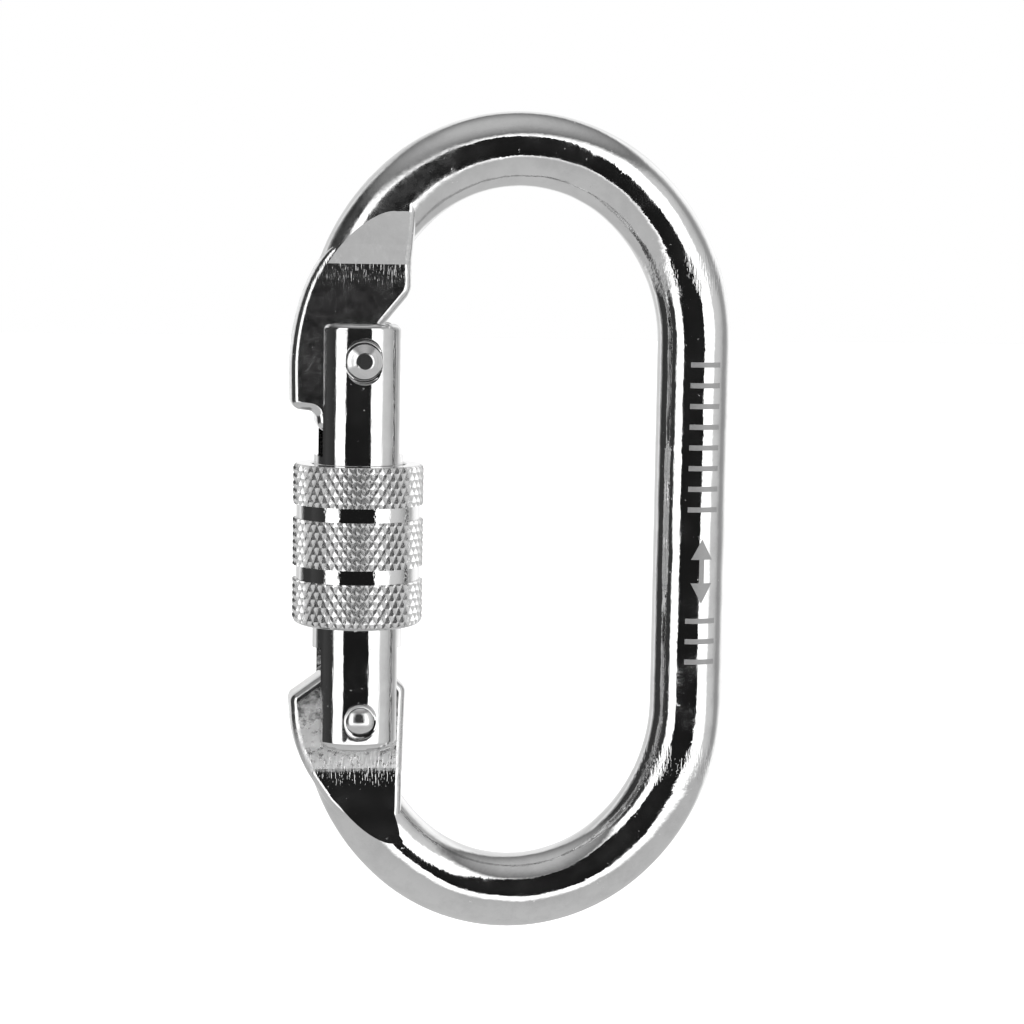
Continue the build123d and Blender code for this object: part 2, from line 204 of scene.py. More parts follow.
def rounded(corners):
    """Outline points from corners given as (x, z, radius), with each corner turned into an arc."""
    points = []
    for i, (x, z, radius) in enumerate(corners):
        here = Vector((x, z))
        if radius <= 0:
            points.append((x, z))
            continue
        back = Vector(corners[i - 1][:2]) - here
        on = Vector(corners[(i + 1) % len(corners)][:2]) - here
        back.normalize()
        on.normalize()
        half = back.angle(on) / 2
        reach = radius / math.tan(half)
        peak = here + (back + on).normalized() * (radius / math.sin(half) - radius)
        points += arc_through(here + back * reach, peak, here + on * reach)
    return points


def prism(outline, low, high, scale=MM):
    """A solid between two heights of Y with an outline given as (x, z) points."""
    bm = bmesh.new()
    verts = [bm.verts.new((x * scale, low, z * scale)) for x, z in outline]
    bm.faces.new(verts)
    out = bmesh.ops.extrude_face_region(bm, geom=bm.faces[:])
    moved = [v for v in out["geom"] if isinstance(v, bmesh.types.BMVert)]
    bmesh.ops.translate(bm, verts=moved, vec=(0, high - low, 0))
    bmesh.ops.recalc_face_normals(bm, faces=bm.faces)
    return bm


def lathe(profile, centre, axis, steps):
    """A solid of revolution: profile is a list of (radius, height) from pole to pole or a closed loop."""
    bm = bmesh.new()
    axis = Vector(axis)
    side = Vector((1, 0, 0))
    points = [Vector(centre) + side * r + axis * h for r, h in profile]
    verts = [bm.verts.new(p) for p in points]
    edges = [bm.edges.new(pair) for pair in zip(verts, verts[1:])]
    if profile[0][0] > 0 and profile[-1][0] > 0:
        edges.append(bm.edges.new((verts[-1], verts[0])))
    bmesh.ops.spin(
        bm, geom=verts + edges, cent=centre, axis=axis, angle=2 * math.pi, steps=steps, use_merge=True)
    bmesh.ops.remove_doubles(bm, verts=bm.verts, dist=1e-7)
    bmesh.ops.recalc_face_normals(bm, faces=bm.faces)
    return bm


def round_edge(corner, radius, start, end):
    """Quarter-round profile points (radius, height) about a corner's centre, from one angle to another."""
    count = 8
    return [
        (corner[0] + radius * math.cos(math.radians(start + (end - start) * i / count)),
         corner[1] + radius * math.sin(math.radians(start + (end - start) * i / count)))
        for i in range(count + 1)
    ]


def as_object(bm, name):
    """Moves a bmesh into a new object at the origin."""
    mesh = bpy.data.meshes.new(name)
    bm.to_mesh(mesh)
    bm.free()
    thing = bpy.data.objects.new(name, mesh)
    bpy.context.scene.collection.objects.link(thing)
    return thing


def combine(thing, operation, *others):
    """Joins or cuts thing with other bmeshes, one after another, and uses them up."""
    for bm in others:
        tool = as_object(bm, "tool")
        mod = thing.modifiers.new("combine", "BOOLEAN")
        mod.operation = operation
        mod.solver = "EXACT"
        mod.object = tool
        bake_modifiers(thing)
        spent = tool.data
        bpy.data.objects.remove(tool)
        bpy.data.meshes.remove(spent)
        if not thing.data.polygons:
            raise RuntimeError(f"nothing is left of {thing.name}")
    return thing


def bake_modifiers(thing):
    """Replaces thing's mesh by what its modifiers make of it."""
    graph = bpy.context.evaluated_depsgraph_get()
    old = thing.data
    new = bpy.data.meshes.new_from_object(thing.evaluated_get(graph), depsgraph=graph)
    thing.modifiers.clear()
    thing.data = new
    new.name = thing.name
    bpy.data.meshes.remove(old)


def finish_piece(thing, body, slot, material, *nodes, weighted=False):
    """Smooths, paints and places a finished piece on its body."""
    bm = bmesh.new()
    bm.from_mesh(thing.data)
    bmesh.ops.remove_doubles(bm, verts=bm.verts, dist=2e-6)
    bmesh.ops.dissolve_degenerate(bm, edges=bm.edges, dist=1e-6)
    bmesh.ops.recalc_face_normals(bm, faces=bm.faces)
    bm.to_mesh(thing.data)
    bm.free()
    thing.data.shade_smooth()
    thing.data.set_sharp_from_angle(angle=SHARP_ANGLE)
    if weighted:
        mod = thing.modifiers.new("flat faces stay flat", "WEIGHTED_NORMAL")
        mod.keep_sharp = True
        mod.weight = 60
        bake_modifiers(thing)
    thing.data.materials.clear()
    thing.data.materials.append(material)
    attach(thing, body)
    if nodes:
        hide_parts(*nodes)
    return thing


def spin_ring(bm, ring, centre, angle, step=math.radians(2.5)):
    """Sweeps a ring of edges round an axis along -Y and returns the last ring."""
    steps = max(1, round(abs(angle) / step))
    verts = list({v for e in ring for v in e.verts})
    out = bmesh.ops.spin(
        bm, geom=ring + verts, cent=centre, axis=(0, -1, 0), angle=angle, steps=steps, use_merge=False)
    return [g for g in out["geom_last"] if isinstance(g, bmesh.types.BMEdge)]


def frame_bar(around=96):
    """The round bar, from the hinge end by the lower bow, the spine and the upper bow to the nose end."""
    bm = bmesh.new()
    bmesh.ops.create_circle(bm, cap_ends=False, segments=around, radius=BAR_R)
    bmesh.ops.translate(bm, verts=bm.verts, vec=(RING_X - LEG_OFFSET, 0, -SHOULDER_Z))
    ring = first = bm.edges[:]
    left, right = RING_X + SHOULDER_R - LEG_OFFSET, RING_X - SHOULDER_R + LEG_OFFSET
    crown_turn = math.pi - 2 * JOIN_ANGLE
    ring = spin_ring(bm, ring, (left, 0, -SHOULDER_Z), JOIN_ANGLE)
    ring = spin_ring(bm, ring, (RING_X, 0, -CROWN_Z), crown_turn)
    ring = spin_ring(bm, ring, (right, 0, -SHOULDER_Z), JOIN_ANGLE)
    straight_steps = 24
    for _ in range(straight_steps):
        out = bmesh.ops.extrude_edge_only(bm, edges=ring)
        moved = [g for g in out["geom"] if isinstance(g, bmesh.types.BMVert)]
        bmesh.ops.translate(bm, verts=moved, vec=(0, 0, 2 * SHOULDER_Z / straight_steps))
        ring = [g for g in out["geom"] if isinstance(g, bmesh.types.BMEdge)]
    ring = spin_ring(bm, ring, (right, 0, SHOULDER_Z), JOIN_ANGLE)
    ring = spin_ring(bm, ring, (RING_X, 0, CROWN_Z), crown_turn)
    ring = spin_ring(bm, ring, (left, 0, SHOULDER_Z), JOIN_ANGLE)
    bmesh.ops.remove_doubles(bm, verts=bm.verts, dist=1e-7)
    bmesh.ops.holes_fill(bm, edges=[e for e in bm.edges if e.is_boundary], sides=0)
    bmesh.ops.recalc_face_normals(bm, faces=bm.faces)
    return bm


def forged_plate(outline, half, edge, fold_z, slope):
    """A plate with all its sides rounded; past fold_z (millimetres) its faces spread along the slope
    until they are as far apart as the bar is thick."""
    bm = prism(outline, -half, half)
    rims = [e for e in bm.edges if abs(e.verts[0].co.y - e.verts[1].co.y) < 1e-7]
    bmesh.ops.bevel(
        bm, geom=rims, offset=edge, offset_type="OFFSET", segments=12, profile=0.5,
        affect="EDGES", clamp_overlap=False, material=-1)
    bmesh.ops.remove_doubles(bm, verts=bm.verts, dist=2e-6)
    fold = fold_z * MM
    full = fold + (BAR_R - half) / slope
    for start, way in ((fold, 1), (full, -1)):
        bmesh.ops.bisect_plane(
            bm, geom=bm.verts[:] + bm.edges[:] + bm.faces[:], plane_co=(0, 0, start), plane_no=(0, 0, 1))
        beyond = [v for v in bm.verts if (v.co.z - start) * slope > 0]
        for side in (-1, 1):
            shear = Matrix.Identity(4)
            shear[1][2] = side * way * slope
            verts = [v for v in beyond if v.co.y * side > 1e-6]
            bmesh.ops.transform(bm, matrix=shear, space=Matrix.Translation((0, 0, -start)), verts=verts)
    bmesh.ops.recalc_face_normals(bm, faces=bm.faces)
    return bm


def nose_outline():
    """The forged nose with its tongue, in millimetres."""
    gx = GATE_X / MM
    root = arc_through((gx + 6.9, 44.4), (gx + 6.82, 39.7), (gx + 6.6, 35.0), math.radians(3))
    side = arc_through((gx - 9.34, 20.2), (gx - 8.8, 26.6), (gx - 7.6, 31.1), math.radians(3))
    upper = arc_through((gx - 7.25, 32.0), (gx - 6.3, 34.0), (gx - 4.7, 36.4), math.radians(3))
    corners = [(x, z, 0) for x, z in root]
    corners += [
        (gx + 6.6, 31.2, 2.6), (gx + TONGUE_RIGHT, 26.6, 1.0),
        (gx + TONGUE_RIGHT, TONGUE_BOTTOM, 1.6), (gx + TONGUE_LEFT, TONGUE_BOTTOM, 1.6),
        (gx + TONGUE_LEFT, NOSE_SHOULDER, 1.2), (gx - 9.25, 15.6, 1.35),
    ]
    corners += [(x, z, 0) for x, z in side + upper]
    corners += [(gx - 2.6, 38.4, 0), (gx + 0.8, 40.0, 0), (gx + 3.2, 42.4, 0)]
    return rounded(corners)


def cam_point(degrees):
    """A point of the hinge plate's cam edge in millimetres; 0 degrees is straight above the rivet."""
    radius = 6.6 + 0.6 * degrees / 30
    turn = math.radians(degrees)
    return (GATE_X / MM + radius * math.sin(turn), HINGE.z / MM + radius * math.cos(turn))


def hinge_outline():
    """The forged hinge end, with the cam edge that the plunger presses on."""
    gx, hz = GATE_X / MM, HINGE.z / MM
    root = arc_through((gx + 5.6, hz - 17.0), (gx + 5.95, hz - 12.5), (gx + 6.15, hz - 7.0), math.radians(3))
    cam = arc_through(cam_point(38), cam_point(14), cam_point(-9))
    side = arc_through((gx - 9.0, hz + 0.9), (gx - 8.25, hz - 3.6), (gx - 6.55, hz - 7.6), math.radians(3))
    corners = [(x, z, 0) for x, z in root]
    corners.append((gx + 6.5, hz + 4.1, 1.5))
    corners += [(x, z, 0) for x, z in cam]
    corners += [(gx - 2.2, hz + 7.0, 1.5), (gx - 3.4, hz + 7.0, 1.4), (gx - 9.15, hz + 2.9, 1.35)]
    corners += [(x, z, 0) for x, z in side]
    corners += [(gx - 5.1, hz - 9.9, 0), (gx - 4.0, hz - 11.5, 0), (gx - 2.4, hz - 13.2, 0)]
    corners += [(gx + 1.0, hz - 15.0, 0), (gx + 2.6, hz - 16.2, 0)]
    return rounded(corners)


def milling_tools(half):
    """The two solids that take the bar down to the plates and run out along a slope."""
    nose_z, nose_slope, rise = NOSE_FOLD, NOSE_SLOPE, 12
    heel_z, heel_slope, drop = HEEL_FOLD, HEEL_SLOPE, 14
    flat = half / MM
    section = [
        (flat, heel_z), (flat, nose_z), (flat + rise * nose_slope, nose_z + rise),
        (12, nose_z + rise), (12, heel_z - drop), (flat + drop * heel_slope, heel_z - drop),
    ]
    tools = []
    for side in (1, -1):
        bm = prism(section, -RING_X, 60 * MM)
        bmesh.ops.rotate(bm, verts=bm.verts, cent=(0, 0, 0), matrix=Matrix.Rotation(math.pi / 2, 3, "Z"))
        bmesh.ops.scale(bm, verts=bm.verts, vec=(1, side, 1))
        bmesh.ops.recalc_face_normals(bm, faces=bm.faces)
        tools.append(bm)
    return tools


def rod(centre, radius, half_length, around=64):
    """A plain cylinder along Y."""
    profile = [(0, -half_length), (radius, -half_length), (radius, half_length), (0, half_length)]
    return lathe(profile, centre, (0, 1, 0), around)


def disc_slot(floor_z, mouth_z):
    """The space a disc cutter takes out of the gate, with a hollow floor."""
    gx = GATE_X / MM
    reach = 7.0
    way = 1 if mouth_z > floor_z else -1
    edge_z = floor_z + way * reach**2 / (2 * SLOT_FLOOR_R / MM)
    outline = arc_through((gx - reach, edge_z), (gx, floor_z), (gx + reach, edge_z), math.radians(1))
    outline += [(gx + reach, mouth_z), (gx - reach, mouth_z)]
    return prism(outline, -SLOT_HALF, SLOT_HALF)


# ---------------------------------------------------------------- materials
def shader(name, base, metallic, roughness):
    """A new material with its Principled shader, its node tree and a reader of object coordinates."""
    mat = bpy.data.materials.new(name)
    mat.use_nodes = True
    tree = mat.node_tree
    bsdf = next(n for n in tree.nodes if n.type == "BSDF_PRINCIPLED")
    bsdf.inputs["Base Color"].default_value = (*base, 1)
    bsdf.inputs["Metallic"].default_value = metallic
    bsdf.inputs["Roughness"].default_value = roughness
    coords = tree.nodes.new("ShaderNodeTexCoord")
    return mat, tree, bsdf, coords.outputs["Object"]


def stretched(tree, where, scale):
    """Object coordinates multiplied axis by axis."""
    node = tree.nodes.new("ShaderNodeMapping")
    node.inputs["Scale"].default_value = scale
    tree.links.new(where, node.inputs["Vector"])
    return node.outputs["Vector"]


def noise(tree, where, scale, detail=2.0, rough=0.5):
    """Noise read at the given place."""
    node = tree.nodes.new("ShaderNodeTexNoise")
    node.inputs["Scale"].default_value = scale
    node.inputs["Detail"].default_value = detail
    node.inputs["Roughness"].default_value = rough
    tree.links.new(where, node.inputs["Vector"])
    return node.outputs["Fac"]


def ranged(tree, value, low, high, to_low, to_high):
    """Maps one range of values onto another and stays inside it."""
    node = tree.nodes.new("ShaderNodeMapRange")
    for socket, number in zip(node.inputs[1:5], (low, high, to_low, to_high)):
        socket.default_value = number
    tree.links.new(value, node.inputs[0])
    return node.outputs[0]


def added(tree, first, second, operation="ADD"):
    """Two values joined by one sum."""
    node = tree.nodes.new("ShaderNodeMath")
    node.operation = operation
    for i, value in enumerate((first, second)):
        if isinstance(value, (int, float)):
            node.inputs[i].default_value = value
        else:
            tree.links.new(value, node.inputs[i])
    return node.outputs[0]


def bumps(tree, bsdf, layers):
    """Chains bump layers, each a (height, distance in metres), into the shader's normal."""
    normal = None
    for height, distance in layers:
        node = tree.nodes.new("ShaderNodeBump")
        node.inputs["Strength"].default_value = 1.0
        node.inputs["Distance"].default_value = distance
        tree.links.new(height, node.inputs["Height"])
        if normal:
            tree.links.new(normal, node.inputs["Normal"])
        normal = node.outputs["Normal"]
    tree.links.new(normal, bsdf.inputs["Normal"])


def mixed_colour(tree, amount, first, second):
    """A colour between two, by amount."""
    node = tree.nodes.new("ShaderNodeMix")
    node.data_type = "RGBA"
    node.inputs["A"].default_value = (*first, 1)
    node.inputs["B"].default_value = (*second, 1)
    tree.links.new(amount, node.inputs["Factor"])
    return node.outputs["Result"]


def band(tree, height, middle, reach):
    """1 near a height, falling to 0 at a reach on both sides; in metres."""
    away = added(tree, height, -middle)
    return ranged(tree, added(tree, away, away, "MULTIPLY"), 0, reach * reach, 1, 0)


def plating(name, waviness, streaks, nicks, dulled=0.0, folds=(), satin=()):
    """Bright plating over polished steel: slow waves, fine streaks along Z, a few nicks, and milling
    marks round the heights given as folds, each (height, reach, depth). A forged flat may be left
    satin, given as (lowest, highest, rightmost); it is dullest at its lower end."""
    finish = bpy.context.scene.carabiner_finish
    base = tuple(finish.plating)
    low = finish.polish + dulled
    mat, tree, bsdf, place = shader(name, base, 1.0, low)
    waves = noise(tree, place, 170, 1.0)
    fine = noise(tree, stretched(tree, place, (2600, 2600, 300)), 1.0, 3.0)
    specks = ranged(tree, noise(tree, place, 1700, 2.0, 0.6), 0.71, 0.80, 0, 1)
    worn = ranged(tree, noise(tree, place, 240, 4.0, 0.65), 0.42, 0.75, 0, 1)
    grain = noise(tree, place, 620, 3.0, 0.6)
    layers = [(waves, waviness), (fine, streaks), (grain, 0.25 * waviness), (specks, -nicks)]
    if folds:
        apart = tree.nodes.new("ShaderNodeSeparateXYZ")
        tree.links.new(place, apart.inputs["Vector"])
        milled = noise(tree, stretched(tree, place, (3600, 900, 520)), 1.0, 2.0, 0.6)
        for height, reach, depth in folds:
            near = band(tree, apart.outputs["Z"], height, reach)
            layers.append((added(tree, milled, near, "MULTIPLY"), depth))
    bumps(tree, bsdf, layers)
    haze = ranged(tree, worn, 0, 1, low, low + 0.10)
    rough = added(tree, haze, ranged(tree, specks, 0, 1, 0, 0.3))
    if satin:
        lowest, highest, rightmost = satin
        fade = added(tree, ranged(tree, apart.outputs["Z"], lowest - 0.4 * MM, lowest, 0, 1),
                     ranged(tree, apart.outputs["Z"], lowest, highest, 0.46, 0.12), "MULTIPLY")
        left = ranged(tree, apart.outputs["X"], rightmost - MM, rightmost, 1, 0)
        mottled = ranged(tree, noise(tree, place, 1100, 3.0, 0.6), 0.38, 0.6, 0.35, 1)
        milled_dull = added(tree, added(tree, fade, left, "MULTIPLY"), mottled, "MULTIPLY")
        rough = added(tree, rough, milled_dull)
    tree.links.new(rough, bsdf.inputs["Roughness"])
    dull = tuple(0.88 * c for c in base)
    tree.links.new(mixed_colour(tree, worn, base, dull), bsdf.inputs["Base Color"])
    return mat


def knurled_plating():
    """Plating on the sleeve, with painted light: a paler colour on the diamonds' tops as a painted highlight, and
    painted shade that darkens the valleys, which are also duller.
    """
    finish = bpy.context.scene.carabiner_finish
    base = tuple(finish.plating)
    mat, tree, bsdf, place = shader("knurled plating", base, 1.0, finish.polish)
    apart = tree.nodes.new("ShaderNodeSeparateXYZ")
    tree.links.new(place, apart.inputs["Vector"])
    across = added(tree, apart.outputs["X"], -GATE_X)
    squares = added(tree, added(tree, across, across, "MULTIPLY"),
                    added(tree, apart.outputs["Y"], apart.outputs["Y"], "MULTIPLY"))
    radius = added(tree, squares, 0.5, "POWER")
    # valley masks the painted shade: 1 in the valleys between the diamonds, 0 on their tops.
    valley = ranged(tree, radius, SLEEVE_R - 0.36 * MM, SLEEVE_R - 0.16 * MM, 1, 0)
    inside = ranged(tree, radius, SLEEVE_R - 0.43 * MM, SLEEVE_R - 0.40 * MM, 0, 1)
    # Painted shade: the valleys' colour is darkened, by an amount that varies at random.
    valley_shade_mask = added(tree, valley, inside, "MULTIPLY")
    mottled_valley_shade = added(tree, valley_shade_mask, ranged(tree, noise(tree, place, 700, 3.0), 0.3, 0.7, 0.4, 1), "MULTIPLY")
    # Painted highlight: pale is a lighter copy of the plating painted on the diamonds' tops; shade mixes it down to
    # grey in the valleys as painted shade.
    pale = tuple(min(1.0, 1.25 * c) for c in base)
    shade = mixed_colour(tree, mottled_valley_shade, pale, (0.5, 0.5, 0.5))
    plain = tree.nodes.new("ShaderNodeMix")
    plain.data_type = "RGBA"
    tree.links.new(inside, plain.inputs["Factor"])
    plain.inputs["A"].default_value = (*base, 1)
    tree.links.new(shade, plain.inputs["B"])
    tree.links.new(plain.outputs["Result"], bsdf.inputs["Base Color"])
    # The same painted-shade mask also makes the valleys rougher.
    rough = ranged(tree, mottled_valley_shade, 0, 1, 0.24, 0.42)
    polished = ranged(tree, inside, 0, 1, finish.polish, 1)
    tree.links.new(added(tree, rough, polished, "MINIMUM"), bsdf.inputs["Roughness"])
    bumps(tree, bsdf, [(noise(tree, place, 2200, 2.0), 0.016 * MM), (noise(tree, place, 320, 1.0), 0.02 * MM)])
    return mat


def ground_steel():
    """Bare ground steel of the plunger and spring."""
    finish = bpy.context.scene.carabiner_finish
    base = tuple(finish.steel)
    mat, tree, bsdf, place = shader("ground steel", base, 1.0, 0.25)
    fine = noise(tree, stretched(tree, place, (900, 900, 5200)), 1.0, 3.0)
    patches = noise(tree, place, 380, 4.0, 0.6)
    bumps(tree, bsdf, [(fine, 0.01 * MM), (patches, 0.02 * MM)])
    tree.links.new(ranged(tree, patches, 0.3, 0.7, 0.18, 0.38), bsdf.inputs["Roughness"])
    dull = tuple(0.75 * c for c in base)
    tree.links.new(mixed_colour(tree, patches, base, dull), bsdf.inputs["Base Color"])
    return mat


def etched():
    """Plating that has been etched to a pale, dull grey."""
    mat, tree, bsdf, place = shader("etched mark", (0.3, 0.3, 0.3), 0.6, 0.5)
    grain = noise(tree, place, 3800, 3.0)
    bumps(tree, bsdf, [(grain, 0.012 * MM)])
    tree.links.new(ranged(tree, grain, 0.3, 0.7, 0.45, 0.7), bsdf.inputs["Roughness"])
    tree.links.new(mixed_colour(tree, grain, (0.22, 0.22, 0.22), (0.36, 0.36, 0.36)), bsdf.inputs["Base Color"])
    return mat


# ---------------------------------------------------------------- pieces
class CARABINER_OT_frame(bpy.types.Operator):
    """Bends the bar, forges its two ends and mills, drills and notches them"""

    bl_idname = "carabiner.frame"
    bl_label = "Frame"

    def execute(self, context):
        sizes = context.scene.carabiner_sizes
        half = sizes.plate_thickness / 2
        thing = as_object(frame_bar(), "frame")
        proud = 0.03 * MM
        nose = forged_plate(nose_outline(), half + proud, sizes.plate_edge, NOSE_FOLD, NOSE_SLOPE)
        heel = forged_plate(hinge_outline(), half + proud, sizes.plate_edge, HEEL_FOLD, -HEEL_SLOPE)
        combine(thing, "UNION", nose, heel)
        combine(thing, "DIFFERENCE", *milling_tools(half))
        combine(thing, "DIFFERENCE", rod(HINGE, PIN_R + 0.06 * MM, 2 * BAR_R))
        notch_r = PIN_R + 0.3 * MM
        gx, lz, r = GATE_X / MM, LATCH.z / MM, notch_r / MM
        notch = [(gx, lz - r), (gx + 5, lz - r), (gx + 5, lz + r), (gx, lz + r)]
        notch += arc_through((gx, lz + r), (gx - r, lz), (gx, lz - r))[1:-1]
        combine(thing, "DIFFERENCE", prism(notch, -2 * BAR_R, 2 * BAR_R))
        folds = ((34.2 * MM, 3.2 * MM, 0.07 * MM), (-32.9 * MM, 3.2 * MM, 0.09 * MM))
        satin = (-32.9 * MM, -22 * MM, -8 * MM)
        metal = plating("frame plating", 0.10 * MM, 0.006 * MM, 0.012 * MM, folds=folds, satin=satin)
        finish_piece(thing, "frame", "frame_plating", metal, "frame_body", weighted=True)
        return {"FINISHED"}


class CARABINER_OT_marks(bpy.types.Operator):
    """Etches a plain double arrow and tick bars into the spine"""

    bl_idname = "carabiner.marks"
    bl_label = "Spine marks"

    def execute(self, context):
        spine_x = RING_X + LEG_OFFSET
        skin, sink = 0.012 * MM, 0.1 * MM
        low, high = -22 * MM, 24 * MM
        wall = [(BAR_R - sink, low), (BAR_R + skin, low), (BAR_R + skin, high), (BAR_R - sink, high)]
        thing = as_object(lathe(wall, (spine_x, 0, 0), (0, 0, 1), 192), "spine_marks")
        middle_x = spine_x / MM + 0.6
        half_w = 2.1
        shapes = []
        for z in (22, 19.2, 16.4, 13.6, 10.8, 8.0, 5.2, 2.4, -12.8, -15.6, -18.4):
            shapes.append([(middle_x - half_w, z - 0.35), (middle_x + half_w, z - 0.35),
                           (middle_x + half_w, z + 0.35), (middle_x - half_w, z + 0.35)])
        shapes.append([(middle_x, -1.6), (middle_x - 1.5, -4.4), (middle_x - 0.35, -4.4),
                       (middle_x - 0.35, -7.6), (middle_x - 1.5, -7.6), (middle_x, -10.4),
                       (middle_x + 1.5, -7.6), (middle_x + 0.35, -7.6), (middle_x + 0.35, -4.4),
                       (middle_x + 1.5, -4.4)])
        cutter = bmesh.new()
        for outline in shapes:
            part = prism(outline, -8 * MM, 0)
            mesh = bpy.data.meshes.new("mark")
            part.to_mesh(mesh)
            part.free()
            cutter.from_mesh(mesh)
            bpy.data.meshes.remove(mesh)
        combine(thing, "INTERSECT", cutter)
        finish_piece(thing, "frame", "frame_plating", etched())
        return {"FINISHED"}


class CARABINER_OT_gate(bpy.types.Operator):
    """Turns the gate barrel and cuts its slots, bore, spot faces and thread"""

    bl_idname = "carabiner.gate"
    bl_label = "Gate"

    def execute(self, context):
        sizes = context.scene.carabiner_sizes
        rim = sizes.gate_rim
        low, high = GATE_LOW.z, GATE_HIGH.z
        foot = 1.6 * rim
        profile = [(0, low)] + round_edge((GATE_R - foot, low + foot), foot, -90, 0)
        profile += round_edge((GATE_R - rim, high - rim), rim, 0, 90) + [(0, high)]
        centre = (GATE_X, 0, 0)
        thing = as_object(lathe(profile, centre, (0, 0, 1), 128), "gate")
        combine(thing, "DIFFERENCE", disc_slot(UPPER_FLOOR / MM, high / MM + 1))
        combine(thing, "DIFFERENCE", disc_slot(LOWER_FLOOR / MM, low / MM - 1))
        bore = [(0, LOWER_FLOOR - MM), (2.08 * MM, LOWER_FLOOR - MM), (2.08 * MM, -3 * MM), (0, -3 * MM)]
        combine(thing, "DIFFERENCE", lathe(bore, centre, (0, 0, 1), 48))
        for pin, floor_r in ((HINGE, 1.75 * MM), (LATCH, 2.3 * MM)):
            for side in (-1, 1):
                dish = [(0, 5.45 * MM)] + round_edge((floor_r, 6.35 * MM), 0.9 * MM, -90, 0)
                dish += [(floor_r + 0.9 * MM, 8 * MM), (0, 8 * MM)]
                tool = lathe([(r, side * h) for r, h in dish], (pin.x, 0, pin.z), (0, 1, 0), 64)
                combine(thing, "DIFFERENCE", tool)
        combine(thing, "DIFFERENCE", self.thread(sizes.thread_pitch))
        folds = ((-22 * MM, 6 * MM, 0.012 * MM),)
        metal = plating("gate plating", 0.04 * MM, 0.008 * MM, 0.012 * MM, folds=folds)
        finish_piece(thing, "gate", "gate_plating", metal, "gate_barrel", weighted=True)
        return {"FINISHED"}

    def thread(self, pitch):
        """The groove of the sleeve's thread, hidden while the sleeve stands in its usual place."""
        depth, outside = 0.55 * MM, 0.25 * MM
        turns, start = 6, -8.6 * MM
        bm = bmesh.new()
        flank = 0.42 * pitch
        corners = [(GATE_R - depth, 0), (GATE_R + outside, flank), (GATE_R + outside, -flank)]
        verts = [bm.verts.new((GATE_X + x, 0, start + z)) for x, z in corners]
        face = bm.faces.new(verts)
        steps = 48 * turns
        bmesh.ops.spin(
            bm, geom=[face], cent=(GATE_X, 0, 0), axis=(0, 0, 1), angle=2 * math.pi * turns,
            dvec=(0, 0, pitch / 48), steps=steps, use_merge=False)
        bmesh.ops.recalc_face_normals(bm, faces=bm.faces)
        return bm


class CARABINER_OT_pins(bpy.types.Operator):
    """Turns the hinge rivet and the latch pin"""

    bl_idname = "carabiner.pins"
    bl_label = "Rivet and latch pin"

    def execute(self, context):
        metal = plating("pin plating", 0.04 * MM, 0.02 * MM, 0.03 * MM, dulled=0.14)
        foot, top = 5.45 * MM, GATE_R + 0.45 * MM
        head, rise, soft = 1.8 * MM, 0.75 * MM, 10
        dome_r = (head**2 + rise**2) / (2 * rise)
        reach = math.asin(head / dome_r)
        dome = [(dome_r * math.sin(reach * i / soft), top - dome_r + dome_r * math.cos(reach * i / soft))
                for i in range(soft, -1, -1)]
        self.pin("hinge_rivet", HINGE, [(PIN_R - 0.02 * MM, foot - 0.2 * MM)] + dome, metal)
        top = GATE_R + 0.75 * MM
        cone = [(PIN_R, foot), (2.4 * MM, foot), (2.4 * MM, GATE_R - 0.3 * MM), (2.28 * MM, GATE_R - 0.1 * MM),
                (1.2 * MM, top - 0.06 * MM), (1.0 * MM, top), (0, top)]
        self.pin("latch_pin", LATCH, cone, metal)
        return {"FINISHED"}

    def pin(self, name, centre, half, metal):
        """A pin that is the same at both ends."""
        profile = [(r, -h) for r, h in reversed(half)] + half
        thing = as_object(lathe(profile, centre, (0, 1, 0), 64), name)
        finish_piece(thing, "gate", "pin_plating", metal, name)


class CARABINER_OT_plunger(bpy.types.Operator):
    """Turns the plunger and winds the gate spring"""

    bl_idname = "carabiner.plunger"
    bl_label = "Plunger and spring"

    def execute(self, context):
        metal = ground_steel()
        low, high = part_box("plunger")
        r = high.x - GATE_X
        profile = [(0, low.z)] + round_edge((r * 0.025, low.z + r * 0.975), r * 0.975, -90, 0)
        profile += [(r, high.z - 0.2 * MM), (r - 0.2 * MM, high.z), (0, high.z)]
        thing = as_object(lathe(profile, (GATE_X, 0, 0), (0, 0, 1), 48), "plunger")
        finish_piece(thing, "plunger", "bright_steel", metal, "plunger")

        low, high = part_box("gate_spring")
        wire = 0.28 * MM
        coil_r = 1.5 * MM
        pitch, per_turn = 1.15 * MM, 32
        rise = high.z - low.z - 2 * wire
        turns = rise / pitch
        bm = bmesh.new()
        bmesh.ops.create_circle(bm, cap_ends=True, segments=10, radius=wire)
        bmesh.ops.rotate(bm, verts=bm.verts, cent=(0, 0, 0), matrix=Matrix.Rotation(math.pi / 2, 3, "X"))
        bmesh.ops.translate(bm, verts=bm.verts, vec=(GATE_X + coil_r, 0, low.z + wire))
        steps = round(turns * per_turn)
        bmesh.ops.spin(
            bm, geom=bm.faces[:], cent=(GATE_X, 0, 0), axis=(0, 0, 1), angle=2 * math.pi * turns,
            dvec=(0, 0, rise / steps), steps=steps, use_merge=False)
        bmesh.ops.recalc_face_normals(bm, faces=bm.faces)
        spring = as_object(bm, "gate_spring")
        finish_piece(spring, "gate", "bright_steel", metal, "gate_spring")
        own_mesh(spring)
        return {"FINISHED"}


